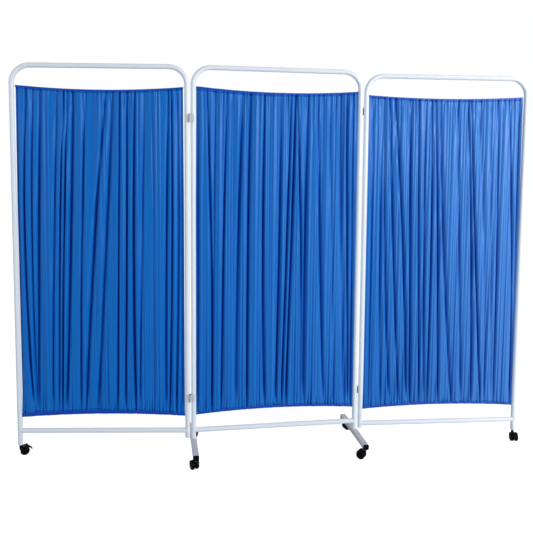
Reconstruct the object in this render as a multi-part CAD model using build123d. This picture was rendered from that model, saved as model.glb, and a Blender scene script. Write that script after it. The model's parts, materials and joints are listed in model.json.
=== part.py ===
from build123d import *
from math import cos, radians, sin, sqrt
import os

# Mobile privacy screen: a middle frame on two feet carries a hinged wing on each side.
# Millimetres, +Z up, -Y is the front. The origin is on the floor under the middle frame's centre.
# Each wing is drawn in one plane with the middle frame and then turned on its hinge pins.

# Frames
frame_height = 1790
tube_diameter = 22
tube_wall = 1.5
panel_width = 772
bend_radius = 80
crossbar_height = 116
post_spacing = 29
right_wing_drop = 14
left_wing_rest_angle = 6.9
right_wing_rest_angle = 3.9

# Feet
foot_length = 322
foot_width = 27
foot_height = 25
foot_corner_radius = 5
foot_wall = 1.5
foot_rise = 4
foot_turn = 3
foot_castor_spacing = 300
foot_hole_clearance = 0.15
fold_clearance = 2.4

# Foot end plugs
plug_head = 4
plug_edge_radius = 1.5
plug_depth = 30
plug_clearance = 0.25
plug_dimple_diameter = 9
plug_dimple_depth = 1.2

# Foot bolts and the inserts that they screw into
bolt_diameter = 8
bolt_head_width = 13
bolt_head_height = 5.3
bolt_seat_gap = 0.02
bolt_grip = 30
bolt_clearance = 0.3
insert_length = 40

# Plugs and castor sockets in the wings' posts
post_plug_head = 3
post_plug_edge_radius = 2
post_plug_depth = 20
socket_flange = 1.5
socket_depth = 30

# Hinges
left_upper_hinge_height = 1553
left_lower_hinge_height = 273
right_upper_hinge_height = 1602
right_lower_hinge_height = 265
hinge_height = 34
hinge_pin_offset = 13
leaf_thickness = 2.5
leaf_face_gap = 0.2
leaf_overhang = 4
knuckle_radius = 4.2
knuckle_gap = 0.3
knuckle_clearance = 0.4
moving_knuckle_length = 12
hinge_pin_radius = 2
pin_running_clearance = 0.05
pin_head_radius = 3.6
pin_head_height = 2.5
pin_head_edge_radius = 0.8

# Curtain wires and the screw eyes that hold them
top_wire_height = 1687.5
bottom_wire_height = 195
wire_radius = 2
wire_end_gap = 23
wide_sag = 17
narrow_sag = 11
bottom_arch = 16
eye_ring_radius = 3
eye_wire_radius = 0.9
eye_stand_off = 1
eye_shank_length = 5
eye_hole_clearance = 0.05
loop_ring_radius = 2.6
loop_wire_radius = 0.8
loop_clearance = 0.2

# Curtains
curtain_side_gap = 2
cloth_thickness = 1.6
hem_radius = 4.5
hem_bore_radius = 2.5
seam_margin = 0.3
hem_end_gap = 25
hem_corner_drop = 14
fold_count = 16
fold_depth = 5.5
gather_depth = 2.2
fold_drift = 5
fold_drift_turn = 2.4
loft_overrun = 12
fold_width_shares = [1.0, 0.82, 1.14, 0.93, 1.2, 0.88, 1.05, 0.79]
fold_depth_shares = [1.0, 0.86, 1.1, 0.74, 0.96, 1.16, 0.82]
middle_height_share = 0.52

# Castors
castor_height = 50.5
castor_trail = 18
wheel_diameter = 40
wheel_width = 12.4
wheel_spacing = 10.5
wheel_shoulder_radius = 6
wheel_edge_radius = 1.5
hub_radius = 11.5
hub_groove = 1
axle_radius = 2.5
axle_depth = 10
axle_end_gap = 0.5
web_clearance = 0.5
web_radius = 14.5
hood_outer_radius = 22
hood_wall = 1.2
hood_width = 38.5
hood_shoulder_radius = 7
hood_side_radius = 16.5
hood_back_angle = 150
plain_hood_angle = 25
braked_hood_angle = 62
boss_length = 11
boss_radius = 7
boss_bottom = 25
boss_collar_bottom = 39.5
boss_top = 43
stem_radius = 5
stem_flange_radius = 6.5
stem_flange = 2
stem_grip = 16
stem_end_gap = 0.3
stem_pivot_radius = 3
stem_pivot_depth = 14
thrust_gap = 0.4
castor_running_clearance = 0.05

# Brake levers, from the wheel axle
lever_pivot_forward = 8.4
lever_pivot_height = 24.6
lever_barrel_radius = 2
lever_neck_width = 13
lever_pedal_width = 19
lever_thickness = 2.2
lever_tip_forward = 30.5
lever_tip_height = 1.5
lever_tip_radius = 1.8
lever_pedal_start = 14
lever_pin_radius = 1.1
lever_side_gap = 0.3
ear_thickness = 2
ear_length = 5
ear_foot_depth = 2.2

# Resting directions of the castors, from +X
left_wing_castor_angle = 18
right_wing_castor_angle = -100
left_front_castor_angle = 112
right_front_castor_angle = 138
left_rear_castor_angle = 58
right_rear_castor_angle = 13

cut_overrun = 5
join_tolerance = 0.0001

# Sizes worked out from the ones above
tube_radius = tube_diameter / 2
rail_height = frame_height - tube_radius
half_panel = panel_width / 2
wing_centre = panel_width + post_spacing
pin_x = half_panel + post_spacing / 2
wheel_radius = wheel_diameter / 2
foot_curve_radius = ((foot_length / 2) ** 2 + foot_rise ** 2) / (2 * foot_rise)
foot_under_radius = foot_curve_radius - foot_height / 2
flange_reach = foot_castor_spacing / 2 + stem_flange_radius
castor_rise = foot_under_radius - sqrt(foot_under_radius ** 2 - flange_reach ** 2)
foot_axis_height = castor_height + foot_height / 2 + castor_rise
foot_top = foot_axis_height + foot_height / 2
inner_post_end = foot_top + fold_clearance + post_plug_head
outer_post_end = castor_height + socket_flange

nodes = {}


def cylinder_between(radius, start, end):
    axis = Vector(*end) - Vector(*start)
    return extrude(Plane(origin=start, z_dir=axis) * Circle(radius), amount=axis.length)


# Frames

def frame_tube(centre, left_end, right_end, rail):
    left = centre - half_panel
    right = centre + half_panel
    path = FilletPolyline(
        (left, 0, left_end), (left, 0, rail), (right, 0, rail), (right, 0, right_end), radius=bend_radius
    )
    ring = Circle(tube_radius) - Circle(tube_radius - tube_wall)
    return sweep(Plane(origin=path @ 0, z_dir=path % 0) * ring, path=path)


def crossbar(centre, height):
    left = centre - half_panel
    right = centre + half_panel
    bar = cylinder_between(tube_radius, (left, 0, height), (right, 0, height))
    bar -= cylinder_between(tube_radius - tube_wall, (left, 0, height), (right, 0, height))
    for x in (left, right):
        bar -= Pos(x, 0, height) * Cylinder(tube_radius, tube_diameter * 2)
    return bar


# Curtain wires: the top one sags and the bottom one arches up, each as one arc

def wire_point(x, centre, end_height, rise):
    half = half_panel - wire_end_gap
    radius = (half ** 2 + rise ** 2) / (2 * abs(rise))
    lift = sqrt(radius ** 2 - (x - centre) ** 2) - sqrt(radius ** 2 - half ** 2)
    return (x, 0, end_height + (lift if rise > 0 else -lift))


def wire_arc(centre, half, end_height, rise):
    points = [wire_point(x, centre, end_height, rise) for x in (centre - half, centre, centre + half)]
    return ThreePointArc(*points)


def rod_along(path, radius):
    return sweep(Plane(origin=path @ 0, z_dir=path % 0) * Circle(radius), path=path)


def eye_centre_offset():
    return tube_radius + eye_stand_off + eye_ring_radius + eye_wire_radius


def curtain_wire(centre, end_height, rise):
    wire = rod_along(wire_arc(centre, half_panel - wire_end_gap, end_height, rise), wire_radius)
    reach = eye_ring_radius - eye_wire_radius - loop_wire_radius - loop_clearance + loop_ring_radius
    loop_offset = eye_centre_offset() + reach
    for side in (-1, 1):
        post = centre + side * half_panel
        loop = post - side * loop_offset
        inner = post - side * wire_end_gap
        wire += Pos(loop, 0, end_height) * Torus(loop_ring_radius, loop_wire_radius)
        start = (loop - side * loop_ring_radius, 0, end_height)
        wire += cylinder_between(loop_wire_radius, start, (inner - side * wire_radius, 0, end_height))
    return wire


def eye_shank(centre, side, height, radius):
    post = centre + side * half_panel
    start = post - side * (tube_radius - eye_shank_length)
    end = post - side * (eye_centre_offset() - eye_ring_radius + eye_wire_radius / 2)
    return cylinder_between(radius, (start, 0, height), (end, 0, height))


def screw_eye(centre, side, height):
    ring = centre + side * (half_panel - eye_centre_offset())
    eye = Pos(ring, 0, height) * Rot(90, 0, 0) * Torus(eye_ring_radius, eye_wire_radius)
    return eye + eye_shank(centre, side, height, eye_wire_radius)


# Curtains: pleated cloth between two hems, with deeper folds at half height than at the hems

def fold_edges(left, right, drift, start):
    edges = [0.0]
    for number in range(2 * fold_count):
        edges.append(edges[-1] + fold_width_shares[(number + start) % len(fold_width_shares)])
    width = right - left
    xs = [left + width * edge / edges[-1] for edge in edges]
    inner = [x + drift * sin(number * fold_drift_turn + start) for number, x in enumerate(xs)]
    return [xs[0]] + inner[1:-1] + [xs[-1]]


def cloth_section(xs, height, depth, start):
    front = []
    back = []
    half = cloth_thickness / 2
    for number, (a, b) in enumerate(zip(xs, xs[1:])):
        share = fold_depth_shares[(number + start) % len(fold_depth_shares)]
        crest = depth * share * (1 if number % 2 else -1)
        middle = (a + b) / 2
        front.append(ThreePointArc((a, -half, height), (middle, crest - half, height), (b, -half, height)))
        back.append(ThreePointArc((a, half, height), (middle, crest + half, height), (b, half, height)))
    ends = [Line((x, -half, height), (x, half, height)) for x in (xs[0], xs[-1])]
    return Face(Wire.combine(front + back + ends, tol=join_tolerance)[0])


def cloth_outline(centre, left, right, top, bottom, sag):
    half = half_panel - hem_end_gap
    top_left = wire_point(centre - half, centre, top, -sag)
    top_right = wire_point(centre + half, centre, top, -sag)
    bottom_left = wire_point(centre - half, centre, bottom, bottom_arch)
    bottom_right = wire_point(centre + half, centre, bottom, bottom_arch)
    low = bottom + hem_corner_drop
    high = top - hem_corner_drop
    edges = [
        wire_arc(centre, half, top, -sag),
        wire_arc(centre, half, bottom, bottom_arch),
        Polyline(top_left, (left, 0, high), (left, 0, low), bottom_left),
        Polyline(top_right, (right, 0, high), (right, 0, low), bottom_right),
    ]
    return extrude(make_face(Curve() + edges), amount=tube_diameter, both=True)


def curtain(centre, drop, sag, start):
    left = centre - half_panel + tube_radius + curtain_side_gap
    right = centre + half_panel - tube_radius - curtain_side_gap
    top = top_wire_height - drop
    bottom = bottom_wire_height - drop
    middle = bottom + (top - bottom) * middle_height_share
    straight = fold_edges(left, right, 0, start)
    drifted = fold_edges(left, right, fold_drift, start)
    sections = [
        cloth_section(straight, bottom - loft_overrun, gather_depth, start),
        cloth_section(drifted, middle, fold_depth, start),
        cloth_section(straight, top + loft_overrun, gather_depth, start),
    ]
    seam = hem_bore_radius + seam_margin
    cloth = loft(sections, ruled=True) & cloth_outline(centre, left, right, top - seam, bottom + seam, sag)
    for height, rise in ((top, -sag), (bottom, bottom_arch)):
        path = wire_arc(centre, half_panel - hem_end_gap, height, rise)
        ring = Circle(hem_radius) - Circle(hem_bore_radius)
        cloth += sweep(Plane(origin=path @ 0, z_dir=path % 0) * ring, path=path)
    return cloth


def panel(name, centre, left_end, right_end, drop, sag, start):
    heights = (top_wire_height - drop, bottom_wire_height - drop)
    places = [(centre, side, height) for side in (-1, 1) for height in heights]
    frame = frame_tube(centre, left_end, right_end, rail_height - drop)
    for place in places:
        frame -= eye_shank(*place, eye_wire_radius + eye_hole_clearance)
    nodes[name + "_frame_tube"] = frame
    nodes[name + "_crossbar"] = crossbar(centre, crossbar_height - drop)
    nodes[name + "_screw_eyes"] = Compound(children=[screw_eye(*place) for place in places])
    wires = [curtain_wire(centre, heights[0], -sag), curtain_wire(centre, heights[1], bottom_arch)]
    nodes[name + "_curtain_wires"] = Compound(children=wires)
    nodes[name + "_curtain"] = curtain(centre, drop, sag, start)


# Feet

def foot_axis():
    half = foot_length / 2
    low = foot_axis_height - foot_rise
    return ThreePointArc((0, -half, low), (0, 0, foot_axis_height), (0, half, low))


def foot_section(inset):
    width = foot_width - 2 * inset
    height = foot_height - 2 * inset
    return RectangleRounded(width, height, foot_corner_radius - inset)


def foot_tube():
    path = foot_axis()
    ring = foot_section(0) - foot_section(foot_wall)
    tube = sweep(Plane(origin=path @ 0, x_dir=(1, 0, 0), z_dir=path % 0) * ring, path=path)
    for y in (-foot_castor_spacing / 2, foot_castor_spacing / 2):
        tube -= Pos(0, y, castor_height) * Cylinder(stem_radius + foot_hole_clearance, foot_height / 2)
    hole = Cylinder(bolt_diameter / 2 + bolt_clearance, foot_height * 2)
    return tube - Pos(0, 0, foot_axis_height) * hole


def stem_bore():
    return Pos(0, 0, castor_height) * Cylinder(stem_radius, 2 * (stem_grip + stem_end_gap))


def foot_plug(side):
    path = foot_axis()
    end = 0 if side < 0 else 1
    outward = path % end * (-1 if side < 0 else 1)
    face = Plane(origin=path @ end, x_dir=(1, 0, 0), z_dir=outward)
    head = extrude(face * foot_section(0), amount=plug_head)
    head = fillet(head.faces().sort_by(Axis.Y)[0 if side < 0 else -1].edges(), plug_edge_radius)
    head -= extrude(face.offset(plug_head) * Circle(plug_dimple_diameter / 2), amount=-plug_dimple_depth)
    plug = head + extrude(face * foot_section(foot_wall + plug_clearance), amount=-plug_depth)
    return plug - Pos(0, side * foot_castor_spacing / 2, 0) * stem_bore()


def foot_bolt():
    under = foot_axis_height - foot_height / 2 - bolt_seat_gap
    head = Pos(0, 0, under - bolt_head_height) * extrude(
        RegularPolygon(bolt_head_width / 2, 6, major_radius=False), amount=bolt_head_height
    )
    shank = cylinder_between(bolt_diameter / 2, (0, 0, under), (0, 0, foot_top + bolt_grip))
    return head + shank


def post_insert():
    insert = Cylinder(tube_radius - tube_wall, insert_length, align=(Align.CENTER, Align.CENTER, Align.MIN))
    bore = Cylinder(bolt_diameter / 2, insert_length * 2)
    return Pos(0, 0, foot_top) * (insert - bore)


# Plugs and sockets in the ends of the wings' posts

def inner_post_plug(x):
    end = (x, 0, inner_post_end)
    body = cylinder_between(tube_radius - tube_wall, end, (x, 0, inner_post_end + post_plug_depth))
    head = cylinder_between(tube_radius, (x, 0, inner_post_end - post_plug_head), end)
    head = fillet(head.edges().sort_by(Axis.Z)[0], post_plug_edge_radius)
    return body + head


def castor_socket(x):
    end = (x, 0, outer_post_end)
    body = cylinder_between(tube_radius - tube_wall, end, (x, 0, outer_post_end + socket_depth))
    body += cylinder_between(tube_radius, (x, 0, castor_height), end)
    return body - Pos(x, 0, 0) * stem_bore()


# Hinges: side is -1 in front of the posts and 1 behind them, and toward points from the pin to the wing

def knuckle_spans(height):
    bottom = height - hinge_height / 2
    low = height - moving_knuckle_length / 2
    high = height + moving_knuckle_length / 2
    fixed = [(bottom, low - knuckle_gap), (high + knuckle_gap, height + hinge_height / 2)]
    return fixed, [(low, high)]


def hinge_leaf(x, side, toward, height, own, other, bore_radius):
    near = hinge_pin_offset - leaf_face_gap - leaf_thickness
    length = post_spacing / 2 + leaf_overhang
    plate = Pos(x + toward * length / 2, side * (near + leaf_thickness / 2), height) * Box(
        length, leaf_thickness, hinge_height
    )
    plate -= Pos(x + toward * post_spacing / 2, 0, height) * Cylinder(tube_radius, hinge_height * 2)
    pin_y = side * hinge_pin_offset
    for low, high in other:
        start = (x, pin_y, low - knuckle_gap)
        end = (x, pin_y, high + knuckle_gap)
        plate -= cylinder_between(knuckle_radius + knuckle_clearance, start, end)
    for low, high in own:
        plate += cylinder_between(knuckle_radius, (x, pin_y, low), (x, pin_y, high))
    return plate - Pos(x, pin_y, height) * Cylinder(bore_radius, hinge_height * 2)


def hinge_pin(x, side, height):
    half = hinge_height / 2
    y = side * hinge_pin_offset
    pin = cylinder_between(hinge_pin_radius, (x, y, height - half), (x, y, height + half))
    top = height + half
    head = cylinder_between(pin_head_radius, (x, y, top), (x, y, top + pin_head_height))
    return pin + fillet(head.edges().sort_by(Axis.Z)[-1], pin_head_edge_radius)


def hinges(name, side, toward, heights):
    fixed_leaves = []
    moving_leaves = []
    pins = []
    x = toward * pin_x
    for height in heights:
        fixed, moving = knuckle_spans(height)
        fixed_leaves.append(hinge_leaf(x, side, -toward, height, fixed, moving, hinge_pin_radius))
        running = hinge_pin_radius + pin_running_clearance
        moving_leaves.append(hinge_leaf(x, side, toward, height, moving, fixed, running))
        pins.append(hinge_pin(x, side, height))
    nodes[name + "_hinge_fixed_leaves"] = Compound(children=fixed_leaves)
    nodes[name + "_hinge_moving_leaves"] = Compound(children=moving_leaves)
    nodes[name + "_hinge_pins"] = Compound(children=pins)


# Castors, drawn trailing towards +X with the stem on the Z axis

def hood_sector(radius, start, width):
    corners = [(radius * cos(radians(a)), radius * sin(radians(a))) for a in (start, hood_back_angle)]
    arc = CenterArc((0, 0), radius, start, hood_back_angle - start)
    sides = [Line((0, 0), corner) for corner in corners]
    face = Plane.XZ * make_face(Curve() + [arc] + sides)
    return Pos(castor_trail, 0, wheel_radius) * extrude(face, amount=width / 2, both=True)


def wheel_shaft(radius, inner, outer):
    start = (castor_trail, inner, wheel_radius)
    return cylinder_between(radius, start, (castor_trail, outer, wheel_radius))


def round_rim(barrel, end, radius):
    rim = barrel.edges().filter_by(GeomType.CIRCLE).sort_by(Axis.Y)[end]
    return fillet(rim, radius)


def hood_barrel(inset):
    half = hood_width / 2 - inset
    barrel = wheel_shaft(hood_outer_radius - inset, -half, half)
    for end in (0, -1):
        barrel = round_rim(barrel, end, hood_shoulder_radius - inset)
    return barrel


def castor_housing(braked):
    web = wheel_spacing - 2 * web_clearance
    start = braked_hood_angle if braked else plain_hood_angle
    hood = hood_barrel(0) - hood_barrel(hood_wall) - wheel_shaft(hood_side_radius, -hood_width, hood_width)
    housing = hood & hood_sector(hood_outer_radius + cut_overrun, start, hood_width * 2)
    housing += wheel_shaft(web_radius, -web / 2, web / 2)
    housing += hood_sector(hood_outer_radius, start, web)
    boss_height = boss_top - boss_bottom
    housing += Pos(0, 0, boss_bottom + boss_height / 2) * Box(boss_length, web, boss_height)
    housing += cylinder_between(boss_radius, (0, 0, boss_collar_bottom), (0, 0, boss_top))
    housing -= wheel_shaft(axle_radius, -web, web)
    bore_bottom = boss_top - stem_pivot_depth - thrust_gap
    bore = stem_pivot_radius + castor_running_clearance
    housing -= cylinder_between(bore, (0, 0, bore_bottom), (0, 0, boss_top + cut_overrun))
    return housing + brake_ears() if braked else housing


def castor_stem():
    shoulder = (0, 0, boss_top + thrust_gap)
    stem = cylinder_between(stem_pivot_radius, (0, 0, boss_top - stem_pivot_depth), shoulder)
    stem += cylinder_between(stem_radius, shoulder, (0, 0, castor_height + stem_grip))
    stem += cylinder_between(stem_flange_radius, (0, 0, castor_height - stem_flange), (0, 0, castor_height))
    return stem


def castor_wheel(side):
    inner = wheel_spacing / 2
    outer = inner + wheel_width
    wheel = wheel_shaft(wheel_radius, side * inner, side * outer)
    wheel = round_rim(wheel, -1 if side > 0 else 0, wheel_shoulder_radius)
    wheel = round_rim(wheel, 0 if side > 0 else -1, wheel_edge_radius)
    groove = wheel_shaft(hub_radius + hub_groove, side * (outer - hub_groove), side * (outer + hub_groove))
    groove -= wheel_shaft(hub_radius, side * (outer - hub_groove), side * (outer + hub_groove))
    bore_end = side * (inner + axle_depth + axle_end_gap)
    bore = wheel_shaft(axle_radius + castor_running_clearance, side * (inner - cut_overrun), bore_end)
    return wheel - groove - bore


def castor_axle():
    half = wheel_spacing / 2 + axle_depth
    return wheel_shaft(axle_radius, -half, half)


# Brake lever: a pedal on a cross pin between two ears on the hood

def lever_point(forward, height):
    return (castor_trail + forward, 0, wheel_radius + height)


def brake_ears():
    inner = lever_neck_width / 2 + lever_side_gap
    ears = []
    low = hood_outer_radius - ear_foot_depth
    high = lever_pivot_height + ear_length / 2
    for side in (-1, 1):
        y = side * (inner + ear_thickness / 2)
        ear = Pos(castor_trail + lever_pivot_forward, y, wheel_radius + (low + high) / 2) * Box(
            ear_length, ear_thickness, high - low
        )
        ears.append(ear)
    pin = lever_cross_pin(lever_pin_radius + castor_running_clearance, inner + ear_thickness + cut_overrun)
    return Part() + ears - pin


def lever_cross_pin(radius, half):
    x, _, z = lever_point(lever_pivot_forward, lever_pivot_height)
    return cylinder_between(radius, (x, -half, z), (x, half, z))


def brake_lever():
    pivot = Vector(lever_pivot_forward, lever_pivot_height)
    tip = Vector(lever_tip_forward, lever_tip_height)
    along = (tip - pivot).normalized()
    across = Vector(-along.Y, along.X) * (lever_thickness / 2)
    lever = lever_cross_pin(lever_barrel_radius, lever_neck_width / 2)
    lever += lever_cross_pin(lever_pin_radius, lever_neck_width / 2 + lever_side_gap + ear_thickness)
    for start, width in ((0, lever_neck_width), (lever_pedal_start, lever_pedal_width)):
        near = pivot + along * start
        corners = [near - across, near + across, tip + across, tip - across]
        points = [lever_point(corner.X, corner.Y) for corner in corners]
        face = make_face(Polyline(*points, close=True))
        lever += extrude(face, amount=width / 2, both=True)
    x, _, z = lever_point(lever_tip_forward, lever_tip_height)
    half = lever_pedal_width / 2
    lever += cylinder_between(lever_tip_radius, (x, -half, z), (x, half, z))
    return lever


def castor(name, place, braked):
    wheels = [castor_wheel(-1), castor_wheel(1)]
    nodes[name + "_castor_stem"] = place * castor_stem()
    nodes[name + "_castor_housing"] = place * castor_housing(braked)
    nodes[name + "_castor_wheels"] = Compound(children=[place * wheel for wheel in wheels])
    nodes[name + "_castor_axle"] = place * castor_axle()
    if braked:
        nodes[name + "_brake_lever"] = place * brake_lever()


# Middle frame on its feet

panel("middle", 0, foot_top, foot_top, 0, wide_sag, 3)
nodes["foot_bolts"] = Compound(children=[Pos(x, 0, 0) * foot_bolt() for x in (-half_panel, half_panel)])
nodes["post_inserts"] = Compound(children=[Pos(x, 0, 0) * post_insert() for x in (-half_panel, half_panel)])
foot_castor_angles = {
    "left_front": left_front_castor_angle,
    "left_rear": left_rear_castor_angle,
    "right_front": right_front_castor_angle,
    "right_rear": right_rear_castor_angle,
}
for foot, x in (("left", -half_panel), ("right", half_panel)):
    place = Pos(x, 0, 0) * Rot(0, 0, foot_turn)
    nodes[foot + "_foot_tube"] = place * foot_tube()
    for end, side in (("front", -1), ("rear", 1)):
        corner = foot + "_" + end
        nodes[corner + "_foot_plug"] = place * foot_plug(side)
        turn = foot_castor_angles[corner] - foot_turn
        castor(corner, place * Pos(0, side * foot_castor_spacing / 2, 0) * Rot(0, 0, turn), False)

# Hinges in one plane, before the wings are turned

hinges("left", -1, -1, (left_upper_hinge_height, left_lower_hinge_height))
hinges("right", 1, 1, (right_upper_hinge_height, right_lower_hinge_height))

# Wings

panel("left_wing", -wing_centre, outer_post_end, inner_post_end, 0, wide_sag, 0)
panel("right_wing", wing_centre, inner_post_end, outer_post_end, right_wing_drop, narrow_sag, 5)
for wing, toward in (("left_wing", -1), ("right_wing", 1)):
    nodes[wing + "_post_plug"] = inner_post_plug(toward * (wing_centre - half_panel))
    nodes[wing + "_castor_socket"] = castor_socket(toward * (wing_centre + half_panel))
outer_post = wing_centre + half_panel
left_castor_turn = left_wing_castor_angle + left_wing_rest_angle
right_castor_turn = right_wing_castor_angle + right_wing_rest_angle
castor("left_wing", Pos(-outer_post, 0, 0) * Rot(0, 0, left_castor_turn), True)
castor("right_wing", Pos(outer_post, 0, 0) * Rot(0, 0, right_castor_turn), True)

for wing, side, toward, angle in (
    ("left", -1, -1, left_wing_rest_angle),
    ("right", 1, 1, right_wing_rest_angle),
):
    pin_axis = Axis((toward * pin_x, side * hinge_pin_offset, 0), (0, 0, 1))
    for name in list(nodes):
        if name.startswith(wing + "_wing") or name == wing + "_hinge_moving_leaves":
            nodes[name] = nodes[name].rotate(pin_axis, -angle)

os.makedirs("parts", exist_ok=True)
for name, shape in nodes.items():
    export_step(shape, "parts/" + name + ".step")
print(len(nodes), "nodes")
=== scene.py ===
import bpy
import json
import math
import numpy as np
from mathutils import Matrix, Vector


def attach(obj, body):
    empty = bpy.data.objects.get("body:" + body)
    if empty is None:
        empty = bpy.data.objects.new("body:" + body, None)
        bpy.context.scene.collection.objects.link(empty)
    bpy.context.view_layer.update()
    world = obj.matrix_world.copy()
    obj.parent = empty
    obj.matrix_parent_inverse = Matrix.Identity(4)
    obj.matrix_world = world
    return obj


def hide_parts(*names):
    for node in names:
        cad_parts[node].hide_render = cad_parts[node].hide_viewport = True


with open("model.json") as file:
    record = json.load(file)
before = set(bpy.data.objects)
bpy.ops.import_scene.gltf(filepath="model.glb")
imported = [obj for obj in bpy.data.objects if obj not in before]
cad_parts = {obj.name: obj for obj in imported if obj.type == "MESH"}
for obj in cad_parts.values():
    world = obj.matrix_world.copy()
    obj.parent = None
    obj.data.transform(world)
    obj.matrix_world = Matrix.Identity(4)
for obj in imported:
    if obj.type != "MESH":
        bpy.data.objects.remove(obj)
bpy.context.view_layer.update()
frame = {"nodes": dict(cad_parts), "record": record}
nodes = frame["nodes"]
print("frame loaded:", len(nodes), "nodes")


def deselectAll():
    if bpy.context.object and bpy.context.object.mode != "OBJECT":
        bpy.ops.object.mode_set(mode="OBJECT")
    bpy.ops.object.select_all(action="DESELECT")


def makeActive(piece):
    deselectAll()
    piece.select_set(True)
    bpy.context.view_layer.objects.active = piece


# sRGB hex to the linear values that Blender's sockets take
def linearColour(hexText):
    parts = [int(hexText[i:i + 2], 16) / 255 for i in (1, 3, 5)]
    return [p / 12.92 if p <= 0.04045 else ((p + 0.055) / 1.055) ** 2.4 for p in parts] + [1.0]


# Adds one shader node: values go to its sockets, links are other nodes' outputs, settings are its own options
def addNode(tree, kind, values=None, links=None, **settings):
    node = tree.nodes.new("ShaderNode" + kind)
    for name, value in settings.items():
        setattr(node, name, value)
    for socket, value in (values or {}).items():
        node.inputs[socket].default_value = value
    for socket, source in (links or {}).items():
        tree.links.new(source, node.inputs[socket])
    return node


def newMaterial(name):
    material = bpy.data.materials.new(name)
    material.use_nodes = True
    material.node_tree.nodes.clear()
    return material, material.node_tree


def finishMaterial(material, tree, surface):
    addNode(tree, "OutputMaterial", links={"Surface": surface.outputs[0]})
    return material


# The camera stands where the photograph was taken from. Its angles are in degrees. The focal length, the
# row that it points at and the picture's side are in the photograph's pixels
cameraSettings = {
    "place": (-0.41768, -2.54307, 1.33440),
    "yaw": -8.195,
    "pitch": 4.335,
    "roll": 0.454,
    "focalPixels": 559.47,
    "centreRow": 210.5,
    "pictureSide": 533,
    "sensor": 36,
    "farthest": 60,
}


def addCamera(s):
    yaw, pitch, roll = (math.radians(s[k]) for k in ("yaw", "pitch", "roll"))
    forward = Vector((-math.sin(yaw) * math.cos(pitch), math.cos(yaw) * math.cos(pitch), -math.sin(pitch)))
    level = Vector((math.cos(yaw), math.sin(yaw), 0))
    upright = level.cross(forward)
    right = level * math.cos(roll) + upright * math.sin(roll)
    up = upright * math.cos(roll) - level * math.sin(roll)
    data = bpy.data.cameras.new("camera")
    data.sensor_width = s["sensor"]
    data.lens = s["sensor"] * s["focalPixels"] / s["pictureSide"]
    data.shift_y = (s["centreRow"] - s["pictureSide"] / 2) / s["pictureSide"]
    data.clip_end = s["farthest"]
    camera = bpy.data.objects.new("camera", data)
    turn = Matrix((right, up, -forward)).transposed().to_4x4()
    camera.matrix_world = Matrix.Translation(s["place"]) @ turn
    bpy.context.scene.collection.objects.link(camera)
    bpy.context.scene.camera = camera


addCamera(cameraSettings)
print("camera set")


# The studio has a white floor in white surroundings, a tall lamp high on the right and a wide, weaker and
# slightly cooler one on the left
studioSettings = {
    "floorSide": 40,
    "floorColour": "#E8E8E8",
    "floorGlow": 0.78,  # seen by the camera alone, so that the floor runs into the white behind it
    "worldColour": "#FFFFFF",
    "worldStrength": 0.29,
    "lamps": {
        "keyLamp": {
            "place": (3.9, -3.7, 2.7), "target": (0.1, 0, 0.9), "width": 1.0, "height": 3.0,
            "power": 272, "colour": "#FFFFFF",
        },
        "fillLamp": {
            "place": (-4.6, -1.9, 1.7), "target": (-0.5, 0, 0.9), "width": 3.4, "height": 3.2,
            "power": 60, "colour": "#DDF1FF",
        },
    },
}


def addFloor(s):
    bpy.ops.mesh.primitive_plane_add(size=s["floorSide"], location=(0, 0, 0))
    floor = bpy.context.object
    floor.name = "studioFloor"
    material, tree = newMaterial("paintedStudioFloor")
    path = addNode(tree, "LightPath")
    matt = addNode(tree, "BsdfDiffuse", {"Color": linearColour(s["floorColour"])})
    glow = addNode(tree, "Emission", {"Strength": s["floorGlow"]})
    seen = addNode(tree, "AddShader", links={0: matt.outputs[0], 1: glow.outputs[0]})
    mixed = addNode(
        tree, "MixShader",
        links={"Fac": path.outputs["Is Camera Ray"], 1: matt.outputs[0], 2: seen.outputs[0]},
    )
    floor.data.materials.append(finishMaterial(material, tree, mixed))


# The world lights the object softly, and shows as plain white to the camera and in reflections
def addWorld(s):
    world = bpy.data.worlds.new("studio")
    bpy.context.scene.world = world
    world.use_nodes = True
    tree = world.node_tree
    tree.nodes.clear()
    path = addNode(tree, "LightPath")
    mirrored = addNode(
        tree, "Math", links={0: path.outputs["Is Glossy Ray"], 1: path.outputs["Is Transmission Ray"]},
        operation="MAXIMUM",
    )
    white = addNode(
        tree, "Math", links={0: path.outputs["Is Camera Ray"], 1: mirrored.outputs[0]}, operation="MAXIMUM",
    )
    colour = linearColour(s["worldColour"])
    soft = addNode(tree, "Background", {"Color": colour, "Strength": s["worldStrength"]})
    backdrop = addNode(tree, "Background", {"Color": colour, "Strength": 1})
    mixed = addNode(
        tree, "MixShader", links={"Fac": white.outputs[0], 1: soft.outputs[0], 2: backdrop.outputs[0]},
    )
    addNode(tree, "OutputWorld", links={"Surface": mixed.outputs[0]})


def addLamp(name, lamp):
    data = bpy.data.lights.new(name, "AREA")
    data.shape = "RECTANGLE"
    data.size = lamp["width"]
    data.size_y = lamp["height"]
    data.energy = lamp["power"]
    data.color = linearColour(lamp["colour"])[:3]
    light = bpy.data.objects.new(name, data)
    aim = Vector(lamp["target"]) - Vector(lamp["place"])
    turn = aim.to_track_quat("-Z", "Y").to_matrix().to_4x4()
    light.matrix_world = Matrix.Translation(lamp["place"]) @ turn
    bpy.context.scene.collection.objects.link(light)


addFloor(studioSettings)
addWorld(studioSettings)
for name, lamp in studioSettings["lamps"].items():
    addLamp(name, lamp)
bpy.context.scene.view_settings.view_transform = "Standard"
print("studio set")


# Sizes of grain and patches and heights of bumps are in metres. glossRange is how far the roughness wanders
# below and above its value from patch to patch
coatSettings = {
    "peel": 0.002,
    "peelStrength": 0.25,
    "peelHeight": 0.00004,
    "patch": 0.06,
    "glossRange": (-0.05, 0.07),
    "reflection": 0.3,
}


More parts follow.
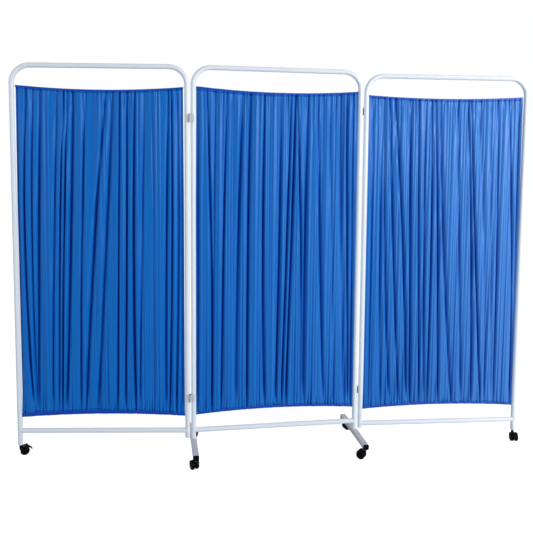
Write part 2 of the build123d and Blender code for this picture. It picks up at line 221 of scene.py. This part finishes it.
# Polyester powder coat on steel: a smooth skin with a soft shine and a faint orange peel. Metal flake turns
# it silver
def powderCoat(name, colour, roughness, flake=0):
    s = coatSettings
    material, tree = newMaterial(name)
    place = addNode(tree, "TexCoord").outputs["Object"]
    peel = addNode(tree, "TexNoise", {"Scale": 1 / s["peel"], "Detail": 1}, {"Vector": place})
    bump = addNode(
        tree, "Bump", {"Strength": s["peelStrength"], "Distance": s["peelHeight"]},
        {"Height": peel.outputs[0]},
    )
    patches = addNode(tree, "TexNoise", {"Scale": 1 / s["patch"], "Detail": 3}, {"Vector": place})
    smooth, rough = (roughness + change for change in s["glossRange"])
    gloss = addNode(tree, "MapRange", {"To Min": smooth, "To Max": rough}, {"Value": patches.outputs[0]})
    surface = addNode(
        tree, "BsdfPrincipled",
        {
            "Base Color": linearColour(colour),
            "Metallic": flake,
            "IOR": 1.5,
            "Specular IOR Level": s["reflection"],
        },
        {"Roughness": gloss.outputs[0], "Normal": bump.outputs[0]},
    )
    return finishMaterial(material, tree, surface)


plasticSettings = {
    "grainStrength": 0.35,
    "grainHeight": 0.00006,
    "wear": 0.015,
    "glossRange": (-0.08, 0.1),
}


# Injection-moulded plastic: a fine spark-eroded grain that softens the gloss, duller where it is worn
def mouldedPlastic(name, colour, roughness, grain, reflection=0.5):
    s = plasticSettings
    material, tree = newMaterial(name)
    place = addNode(tree, "TexCoord").outputs["Object"]
    texture = addNode(tree, "TexNoise", {"Scale": 1 / grain, "Detail": 2}, {"Vector": place})
    bump = addNode(
        tree, "Bump", {"Strength": s["grainStrength"], "Distance": s["grainHeight"]},
        {"Height": texture.outputs[0]},
    )
    wear = addNode(tree, "TexNoise", {"Scale": 1 / s["wear"], "Detail": 4}, {"Vector": place})
    smooth, rough = (roughness + change for change in s["glossRange"])
    gloss = addNode(tree, "MapRange", {"To Min": smooth, "To Max": rough}, {"Value": wear.outputs[0]})
    surface = addNode(
        tree, "BsdfPrincipled",
        {"Base Color": linearColour(colour), "IOR": 1.5, "Specular IOR Level": reflection},
        {"Roughness": gloss.outputs[0], "Normal": bump.outputs[0]},
    )
    return finishMaterial(material, tree, surface)


steelSettings = {
    "line": 0.0006,
    "lineStretch": 0.05,
    "lineStrength": 0.2,
    "lineHeight": 0.00003,
    "cloud": 0.01,
    "glossRange": (-0.06, 0.08),
}


# Drawn steel, bare, plated or blacked: fine draw lines along the height and a slightly cloudy gloss
def drawnSteel(name, colour, roughness):
    s = steelSettings
    material, tree = newMaterial(name)
    place = addNode(tree, "TexCoord").outputs["Object"]
    stretch = addNode(tree, "Mapping", {"Scale": (1, 1, s["lineStretch"])}, {"Vector": place})
    lines = addNode(tree, "TexNoise", {"Scale": 1 / s["line"], "Detail": 2}, {"Vector": stretch.outputs[0]})
    bump = addNode(
        tree, "Bump", {"Strength": s["lineStrength"], "Distance": s["lineHeight"]},
        {"Height": lines.outputs[0]},
    )
    cloud = addNode(tree, "TexNoise", {"Scale": 1 / s["cloud"], "Detail": 3}, {"Vector": place})
    smooth, rough = (roughness + change for change in s["glossRange"])
    gloss = addNode(tree, "MapRange", {"To Min": smooth, "To Max": rough}, {"Value": cloud.outputs[0]})
    surface = addNode(
        tree, "BsdfPrincipled",
        {"Base Color": linearColour(colour), "Metallic": 1},
        {"Roughness": gloss.outputs[0], "Normal": bump.outputs[0]},
    )
    return finishMaterial(material, tree, surface)


clothSettings = {
    "colour": "#0669BF",
    "deepColour": "#0561B4",
    # painted shade: the darker blue that the fold valleys and the hems are coloured towards
    "paintedShadeColour": "#053AAB",
    # painted highlight: the paler blue that is blended in as painted sheen
    "paintedSheenColour": "#447FC9",
    "thread": 0.0012,  # real threads are about 0.3 mm apart, drawn four times as coarse so that they show
    "weaveStrength": 0.3,
    "weaveHeight": 0.0001,
    "streak": 0.006,
    "streakStretch": 0.03,
    "streakRange": (0.22, 0.75),  # the noise values that give the deep and the full colour
    "roughness": 0.37,
    "glossTint": "#E4F0FF",
    "sheen": 0.06,
    "sheenRoughness": 0.35,
    "sheenTint": "#A8CCFF",
    "flatWidth": 1.03,
    "flatLength": 1.47,
}


# Woven polyester, piece-dyed: warp and weft threads, faint lengthways streaks and a soft sheen. A paler
# blue is painted in as a highlight, by one share at the cloth's left edge and another at its right edge, and
# painted shade darkens the fold valleys and the hems
def wovenPolyester(name, s, paintedSheen, gloss):
    material, tree = newMaterial(name)
    flat = addNode(tree, "UVMap", uv_map="flat")
    apart = addNode(tree, "SeparateXYZ", links={"Vector": flat.outputs[0]})
    waves = []
    for axis in ("X", "Y"):
        turns = {1: 2 * math.pi / s["thread"]}
        turn = addNode(tree, "Math", turns, {0: apart.outputs[axis]}, operation="MULTIPLY")
        waves.append(addNode(tree, "Math", links={0: turn.outputs[0]}, operation="SINE"))
    warp, weft = waves
    weave = addNode(tree, "Math", links={0: warp.outputs[0], 1: weft.outputs[0]}, operation="MULTIPLY")
    bump = addNode(
        tree, "Bump", {"Strength": s["weaveStrength"], "Distance": s["weaveHeight"]},
        {"Height": weave.outputs[0]},
    )
    stretch = addNode(tree, "Mapping", {"Scale": (1, s["streakStretch"], 1)}, {"Vector": flat.outputs[0]})
    streaks = addNode(
        tree, "TexNoise", {"Scale": 1 / s["streak"], "Detail": 3}, {"Vector": stretch.outputs[0]},
    )
    tone = addNode(tree, "ValToRGB", links={"Fac": streaks.outputs[0]})
    for stop, position, colour in zip(tone.color_ramp.elements, s["streakRange"], ("deepColour", "colour")):
        stop.position = position
        stop.color = linearColour(s[colour])
    # painted highlight: a paler blue blended in from one share at the cloth's left edge to another at its
    # right edge
    sheenShare = addNode(
        tree, "MapRange", {"From Max": s["flatWidth"], "To Min": paintedSheen[0], "To Max": paintedSheen[1]},
        {"Value": apart.outputs["X"]},
    )
    sheened = addNode(
        tree, "MixRGB", {"Color2": linearColour(s["paintedSheenColour"])},
        {"Fac": sheenShare.outputs[0], "Color1": tone.outputs[0]},
    )
    # this attribute carries painted shade, strongest in the fold valleys and on the hems
    paintedShade = addNode(tree, "Attribute", attribute_name="paintedShade")
    shaded = addNode(
        tree, "MixRGB", {"Color2": linearColour(s["paintedShadeColour"])},
        {"Fac": paintedShade.outputs["Fac"], "Color1": sheened.outputs[0]},
    )
    surface = addNode(
        tree, "BsdfPrincipled",
        {
            "Roughness": s["roughness"],
            "IOR": 1.5,
            "Specular IOR Level": gloss,
            "Specular Tint": linearColour(s["glossTint"]),
            "Sheen Weight": s["sheen"],
            "Sheen Roughness": s["sheenRoughness"],
            "Sheen Tint": linearColour(s["sheenTint"]),
        },
        {"Base Color": shaded.outputs[0], "Normal": bump.outputs[0]},
    )
    return finishMaterial(material, tree, surface)


# After the colour comes the roughness, then a coat's share of metal flake, or a plastic's grain and
# reflection
finishes = {
    "powder_coat": powderCoat("whitePowderCoat", "#DAE2EA", 0.28),
    "foot_paint": powderCoat("silverPowderCoat", "#C4C3C9", 0.4, 0.45),
    "hinge_steel": powderCoat("greyHingeEnamel", "#BDBFC4", 0.5),
    "pin_steel": drawnSteel("blackedPinSteel", "#2B2D31", 0.45),
    "spring_wire": drawnSteel("springWire", "#3C3F45", 0.4),
    "zinc_plate": drawnSteel("zincPlatedEye", "#B4B7BC", 0.35),
    "fastener_steel": drawnSteel("zincPlatedBolt", "#B0B3B8", 0.35),
    "castor_steel": drawnSteel("chromedStem", "#9A9DA2", 0.2),
    "post_end_plastic": mouldedPlastic("whitePolyethylene", "#D5DAE1", 0.35, 0.0008),
    "plug_plastic": mouldedPlastic("blackPolyethylene", "#050609", 0.4, 0.0008, 0.07),
    "castor_plastic": mouldedPlastic("blackNylonHood", "#030407", 0.28, 0.0007, 0.06),
    "wheel_nylon": mouldedPlastic("blackNylonWheel", "#04060B", 0.34, 0.0007, 0.06),
    "lever_plastic": mouldedPlastic("blackNylonLever", "#030407", 0.32, 0.0007, 0.06),
    "curtain_cloth": wovenPolyester("bluePolyesterWeave", clothSettings, (0, 0), 0.2),
}
for part in frame["record"]["subparts"]:
    piece = nodes[part["node"]]
    piece.data.materials.clear()
    piece.data.materials.append(finishes[part["material_slot"]])
print("materials set")


# The panels' frames and wires as the CAD has them, in metres. halfPanel reaches to a post's middle line, and
# the wires end wireEnd short of it
screenSettings = {
    "halfPanel": 0.386,
    "tubeRadius": 0.011,
    "topWire": 1.6875,
    "bottomWire": 0.195,
    "wireEnd": 0.023,
    "bottomArch": 0.016,
}

# For each panel: its middle, the hinge pin that it is turned about, by so many degrees, how much lower its
# wires hang and how far its top wire sags. Then the share of paler blue painted in as a highlight at the
# left and right edge, the gloss of its cloth, and how deep its folds are against the others'. gaps are
# between the cloth and each post, at gapPlaces. header and skirt are how far the hems reach past their
# wires at the left end, the middle and the right end.
# Each fold: where it stands at the top, at half height and at the bottom, as percent of the cloth's width,
# then how deep it is, as percent of the deepest fold, and how wide, as percent of the usual width. slide
# moves all the folds of a panel at those three places
panels = {
    "left_wing": {
        "centre": -0.801, "pin": (-0.4005, -0.013), "turn": -6.9, "drop": 0, "sag": 0.017,
        "seed": 11, "paintedSheen": (0, 0), "gloss": 0.19, "relief": 1,
        "gaps": {"left": (0.0065, 0.0006, 0.0006), "right": (0.006, 0.003, 0.001)},
        "header": (0.0038, 0.0042, 0.0022), "skirt": (0.014, 0.0155, 0.0094),
        "slide": (-0.4, -0.55, -0.8),
        "folds": [
            (1, 1, 1, 50, 110), (6.5, 4.6, 8.2, 85, 100), (10.5, 8.8, 9.8, 60, 90),
            (15, 12.6, 10.6, 90, 130), (25, 21.8, 19.5, 55, 100), (29, 25.4, 23.4, 75, 70),
            (31.2, 27.8, 25.4, 85, 80), (34.4, 31.6, 28, 100, 130), (42, 38.6, 37, 70, 100),
            (54, 45.6, 40, 95, 130), (58, 52.8, 47.4, 85, 140), (62.2, 60.8, 59.4, 80, 80),
            (66.6, 65.6, 64, 95, 80), (71.6, 69.8, 70.6, 100, 100), (77, 74.8, 73, 50, 110),
            (82, 82, 82, 25, 120), (91.6, 89.6, 89, 75, 100), (93.6, 93.2, 91.4, 70, 80),
            (96.8, 97, 95.4, 80, 90), (99.2, 99, 99, 50, 110),
        ],
    },
    "middle": {
        "centre": 0, "pin": (0, 0), "turn": 0, "drop": 0, "sag": 0.017,
        "seed": 23, "paintedSheen": (0, 0.2), "gloss": 0.22, "relief": 1,
        "gaps": {"left": (0.003, 0.0006, 0.0006), "right": (0.0006, 0.0006, 0.0006)},
        "header": (0.007, 0.0055, 0.0022), "skirt": (0.0052, 0.008, 0.0076),
        "slide": (-0.45, -0.3, -0.45),
        "folds": [
            (1, 1.4, 1, 60, 140), (6.8, 9.6, 10, 90, 80), (12, 11, 10.4, 30, 80),
            (18.8, 17, 16, 85, 80), (28.6, 25.8, 25, 90, 130), (33, 32, 32, 100, 110),
            (42, 41.4, 43.2, 95, 120), (51.6, 51.6, 50, 90, 100), (58.2, 56.2, 53.8, 80, 80),
            (61, 59, 56.8, 100, 90), (61.8, 65.4, 66.4, 80, 90), (69, 68, 68.4, 90, 140),
            (75, 77.6, 81.4, 70, 120), (82, 85.2, 88, 30, 120), (89, 91.4, 95, 60, 160),
            (93, 95.2, 97.4, 70, 80), (97.6, 98, 99.2, 60, 90),
        ],
    },
    "right_wing": {
        "centre": 0.801, "pin": (0.4005, 0.013), "turn": -3.9, "drop": 0.014, "sag": 0.011,
        "seed": 37, "paintedSheen": (0, 0.68), "gloss": 0.38, "relief": 0.84,
        "gaps": {"left": (0.0006, 0.0006, 0.0006), "right": (0.0081, 0.0038, 0.001)},
        "header": (0.0022, 0.0026, 0.005), "skirt": (0.0063, 0.0087, 0.0053),
        "slide": (-1.2, -0.4, -0.3),
        "folds": [
            (4, 4, 4.6, 50, 110), (9.6, 9.8, 12, 60, 110), (11.4, 13, 18, 70, 110),
            (14.8, 18.6, 24, 80, 100), (18.4, 25, 29.2, 95, 110), (28, 29.6, 31.6, 95, 100),
            (33.6, 35, 38, 80, 90), (38, 38.6, 41, 70, 90), (42, 43.2, 43, 75, 80),
            (44.4, 47.8, 50.2, 95, 100), (47.4, 51.8, 59.4, 85, 130), (59.2, 61.8, 66, 60, 110),
            (65.6, 70, 72.6, 95, 100), (67.6, 72.8, 79, 95, 80), (73, 78.6, 82, 45, 150),
            (80, 83, 86, 35, 110), (85.6, 87, 88, 65, 80), (92.4, 97, 99, 75, 80),
            (99, 99.4, 99.6, 40, 90),
        ],
    },
}

# Lengths are in metres. The pairs for creases and gathers are the ranges that each one is drawn from.
# foldGrowth is the share of its depth that a fold has at the hem, and the height over which it grows to the
# whole
curtainSettings = {
    "columns": 680,
    "rows": 66,
    "rowCrowding": 0.11,
    "clothThickness": 0.0007,
    "gapPlaces": (0, 0.35, 1),  # shares of the height from the top
    "foldDepth": 0.021,
    "foldWidth": 0.0066,
    "foldGrowth": {"top": (0.4, 0.5), "bottom": (0.25, 0.1)},
    "creases": 36,
    "creaseLean": 0.02,
    "creaseDepth": (0.0007, 0.0024),
    "creaseWidth": (0.0028, 0.006),
    "gathers": 62,
    "gatherShift": 0.35,
    "gatherLean": 0.06,
    "gatherDepth": {"top": (0.0008, 0.0032), "bottom": (0.0013, 0.005)},
    "gatherWidth": (0.0022, 0.0036),
    "gatherLength": {"top": (0.03, 0.16), "bottom": (0.02, 0.09)},
    "gatherFade": 1.5,
    "gatherSpread": 0.6,
    "swell": 0.0042,
    "swellPace": 18,
    "swellWaves": 8,
    # painted shade in the fold valleys: the share of the cloth's width over which the surroundings are
    # averaged, and the depth below them, in metres, at which the shade is full
    "valleyShadeReach": 0.026,
    "valleyShadeFull": 0.008,
    "seamReach": {"top": 0.008, "bottom": 0.0045},
    "hemRound": 0.032,
    "hemShade": {"seam": 0.5, "rim": 1},
    "hemRipple": 0.25,
}


def panelMatrix(p):
    pin = Vector((p["pin"][0], p["pin"][1], 0))
    turn = Matrix.Rotation(math.radians(p["turn"]), 4, "Z")
    return Matrix.Translation(pin) @ turn @ Matrix.Translation(-pin)


# A wire is an arc from post to post, hanging down at the top and arched up at the bottom
def wireHeight(x, p, top):
    rise = -p["sag"] if top else screenSettings["bottomArch"]
    half = screenSettings["halfPanel"] - screenSettings["wireEnd"]
    radius = (half ** 2 + rise ** 2) / (2 * abs(rise))
    lift = np.sqrt(radius ** 2 - (x - p["centre"]) ** 2) - math.sqrt(radius ** 2 - half ** 2)
    end = (screenSettings["topWire"] if top else screenSettings["bottomWire"]) - p["drop"]
    return end + math.copysign(1, rise) * lift


# A smooth irregular wave, mostly between -1 and 1 and the same for every run
def slowWave(t, chance, count):
    total = np.zeros_like(t)
    for number in range(1, count + 1):
        size = chance.uniform(-1, 1) / number ** 0.5
        total += size * np.sin(number * t * math.pi + chance.uniform(0, 6.28))
    return total / 1.6


# How far each point of the cloth stands off the panel's plane. across and height run from 0 to 1 over the
# cloth
def clothShape(across, height, p, c):
    chance = np.random.RandomState(p["seed"])
    width = 2 * screenSettings["halfPanel"]
    tall = screenSettings["topWire"] - screenSettings["bottomWire"]
    fromEnd = {"top": (1 - height) * tall, "bottom": height * tall}
    offset = np.zeros(np.broadcast(across, height).shape)

    growth = 1
    for end, (start, reach) in c["foldGrowth"].items():
        growth = growth * (start + (1 - start) * np.clip(fromEnd[end] / reach, 0, 1))
    for *places, depth, wide in p["folds"]:
        top, middle, bottom = (place + slide for place, slide in zip(places, p["slide"]))
        bend = 2 * (top + bottom - 2 * middle)
        place = (bottom + (top - bottom) * height - bend * height * (1 - height)) / 100
        gap = (across - place) * width / (c["foldWidth"] * wide / 100)
        offset += c["foldDepth"] * p["relief"] * depth / 100 * growth * np.exp(-gap ** 2)

    # small creases over the whole height, some of them ridges
    count = c["creases"]
    for number in range(count):
        top = (number + chance.uniform(0, 1)) / count
        lean = chance.normal(0, c["creaseLean"])
        start, end = chance.uniform(0, 1, 2)
        sign = 1 if chance.uniform() < 0.5 else -1
        depth = sign * chance.uniform(*c["creaseDepth"]) * (end + (start - end) * height)
        gap = (across - top - lean * (1 - height)) * width / chance.uniform(*c["creaseWidth"])
        offset += depth * np.exp(-gap ** 2)

    # gathers that start at each hem and die away from it
    for end, away in fromEnd.items():
        for number in range(c["gathers"]):
            shift = chance.uniform(-c["gatherShift"], c["gatherShift"])
            place = (number + 0.5 + shift) / c["gathers"]
            lean = chance.normal(0, c["gatherLean"])
            reach = chance.uniform(*c["gatherLength"][end])
            depth = chance.uniform(*c["gatherDepth"][end]) * np.exp(-(away / reach) ** c["gatherFade"])
            wide = chance.uniform(*c["gatherWidth"]) * (1 + away / reach * c["gatherSpread"])
            gap = ((across - place) * width - lean * away) / wide
            offset += depth * np.exp(-gap ** 2)

    for share in (height, 1 - height):
        wave = slowWave(across[0] * c["swellPace"], chance, c["swellWaves"])
        offset += c["swell"] * wave[None, :] * share
    return offset - offset.mean()


# Where the cloth's left and right edges stand at each height, inside the posts
def clothEdges(height, p, c):
    half = screenSettings["halfPanel"] - screenSettings["tubeRadius"]
    left, right = (np.interp(1 - height, c["gapPlaces"], p["gaps"][side]) for side in ("left", "right"))
    return p["centre"] - half + left, p["centre"] + half - right


def meshFromGrid(name, points, flat):
    rows, columns = points.shape[:2]
    index = np.arange(rows * columns).reshape(rows, columns)
    corners = [index[:-1, :-1], index[:-1, 1:], index[1:, 1:], index[1:, :-1]]
    faces = np.stack(corners, -1).reshape(-1, 4)
    mesh = bpy.data.meshes.new(name)
    mesh.from_pydata(points.reshape(-1, 3).tolist(), [], faces.tolist())
    layer = mesh.uv_layers.new(name="flat")
    flatPoints = flat.reshape(-1, 2)
    layer.data.foreach_set("uv", flatPoints[faces.reshape(-1)].astype(np.float32).ravel())
    piece = bpy.data.objects.new(name, mesh)
    bpy.context.scene.collection.objects.link(piece)
    return piece


def thicken(piece, thickness):
    makeActive(piece)
    bpy.ops.object.shade_smooth()
    solidify = piece.modifiers.new("thickness", "SOLIDIFY")
    solidify.thickness = thickness
    solidify.offset = 0
    bpy.ops.object.modifier_apply(modifier="thickness")


# How far each point lies below its surroundings, from 0 to 1: how much painted shade darkens the cloth's
# colour there
def valleyShade(offset, c):
    reach = int(c["valleyShadeReach"] * c["columns"])
    kernel = np.hanning(2 * reach + 1)
    kernel /= kernel.sum()
    padded = np.pad(offset, ((0, 0), (reach, reach)), mode="edge")
    level = np.array([np.convolve(row, kernel, mode="valid") for row in padded])
    return np.clip((offset - level) / c["valleyShadeFull"], 0, 1)


# The painted shade goes into the valleys. The valleys seen from the front are ridges from the back, so each
# side of the cloth gets its own
def addValleyShade(piece, front, back, turn):
    mesh = piece.data
    normals = np.empty(len(mesh.vertices) * 3, dtype=np.float32)
    mesh.vertices.foreach_get("normal", normals)
    ahead = normals.reshape(-1, 3) @ turn[:3, :3] @ np.array([0, -1, 0])
    values = np.where(ahead > 0, np.tile(front.ravel(), 2), np.tile(back.ravel(), 2))
    layer = mesh.attributes.new("paintedShade", "FLOAT", "POINT")
    layer.data.foreach_set("value", values.astype(np.float32))


# The hem's sleeve in section, up its front from seam to rim and down its back: how far it stands off the
# cloth's middle, and its place, -1 at the seam, 0 at the wire and 1 at the rim
sleeveOutline = [
    (-0.0005, -1), (-0.0014, -0.6), (-0.0023, -0.2), (-0.0024, 0.1), (-0.0019, 0.55), (-0.0011, 0.9), (0, 1),
    (0.0011, 0.9), (0.0019, 0.55), (0.0024, 0.1), (0.0023, -0.2), (0.0014, -0.6), (0.0005, -1),
]


# A smooth run through three values, at the left end, the middle and the right end
def alongWire(across, values):
    left, middle, right = values
    ends = left * (1 - across) * (1 - 2 * across) + right * across * (2 * across - 1)
    return ends + middle * 4 * across * (1 - across)


def addSheet(name, p, c, cloth, turn, across, height, offset, x):
    top = wireHeight(x, p, True) - c["seamReach"]["top"]
    bottom = wireHeight(x, p, False) + c["seamReach"]["bottom"]
    z = bottom + (top - bottom) * height
    points = np.stack([x, offset, z], -1)
    runs = np.linalg.norm(np.diff(points, axis=1), axis=2).sum(axis=1)
    mean, most = round(float(runs.mean()), 3), round(float(runs.max()), 3)
    print(name, "cloth along its folds:", mean, "m on average,", most, "m at most")
    flat = np.stack([across * clothSettings["flatWidth"] + 0 * z, z], -1)
    sheet = meshFromGrid(name + "_cloth", points @ turn[:3, :3].T + turn[:3, 3], flat)
    thicken(sheet, c["clothThickness"])
    addValleyShade(sheet, valleyShade(offset, c), valleyShade(-offset, c), turn)
    sheet.data.materials.append(cloth)
    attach(sheet, name)
    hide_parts(name + "_curtain")
    return sheet


# A hem is the sleeve that its wire runs through. It follows the folds at its seam and less so past the wire
def addHem(name, p, c, cloth, turn, across, offset, x, end):
    atTop = end == "top"
    row = -1 if atTop else 0
    sign = 1 if atTop else -1
    wire = wireHeight(x[row], p, atTop)
    rim = alongWire(across[0], p["header"] if atTop else p["skirt"])
    ring = []
    for proud, place in sleeveOutline:
        reach = place * (rim if place > 0 else c["seamReach"][end])
        ripple = offset[row] * max(-place, place * c["hemRipple"])
        ring.append(np.stack([x[row], proud + ripple, wire + sign * reach], -1))
    ring = np.array(ring)
    around = np.linspace(0, c["hemRound"], len(sleeveOutline))[:, None]
    along = np.broadcast_to(across * clothSettings["flatWidth"], ring.shape[:2])
    flat = np.stack([along, around + 0 * ring[:, :, 0]], -1)
    hem = meshFromGrid(name + "_" + end + "_hem", ring @ turn[:3, :3].T + turn[:3, 3], flat)
    makeActive(hem)
    if not atTop:
        bpy.ops.object.mode_set(mode="EDIT")
        bpy.ops.mesh.select_all(action="SELECT")
        bpy.ops.mesh.flip_normals()
        bpy.ops.object.mode_set(mode="OBJECT")
    thicken(hem, c["clothThickness"])
    # painted shade on the hem: half strength at its seam and full at its rim, with the fold valleys' painted
    # shade added towards the seam
    share = np.array([[(place + 1) / 2] for proud, place in sleeveOutline])
    shade = c["hemShade"]["seam"] + (c["hemShade"]["rim"] - c["hemShade"]["seam"]) * share
    front, back = valleyShade(offset, c)[row], valleyShade(-offset, c)[row]
    addValleyShade(hem, shade + (1 - share) * front, shade + (1 - share) * back, turn)
    hem.data.materials.append(cloth)
    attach(hem, name)
    return hem


def addCurtain(name, p, c):
    turn = np.array(panelMatrix(p))
    across = np.linspace(0, 1, c["columns"])[None, :]
    # rows crowd towards both hems, where the gathers are fine
    even = np.linspace(0, 1, c["rows"])
    height = (even - c["rowCrowding"] * np.sin(2 * math.pi * even))[:, None]
    offset = clothShape(across, height, p, c)
    left, right = clothEdges(height, p, c)
    x = left + (right - left) * across
    cloth = wovenPolyester("bluePolyesterWeave_" + name, clothSettings, p["paintedSheen"], p["gloss"])
    sheet = addSheet(name, p, c, cloth, turn, across, height, offset, x)
    hems = [addHem(name, p, c, cloth, turn, across, offset, x, end) for end in ("top", "bottom")]


for name, p in panels.items():
    addCurtain(name, p, curtainSettings)
print("curtains hung")
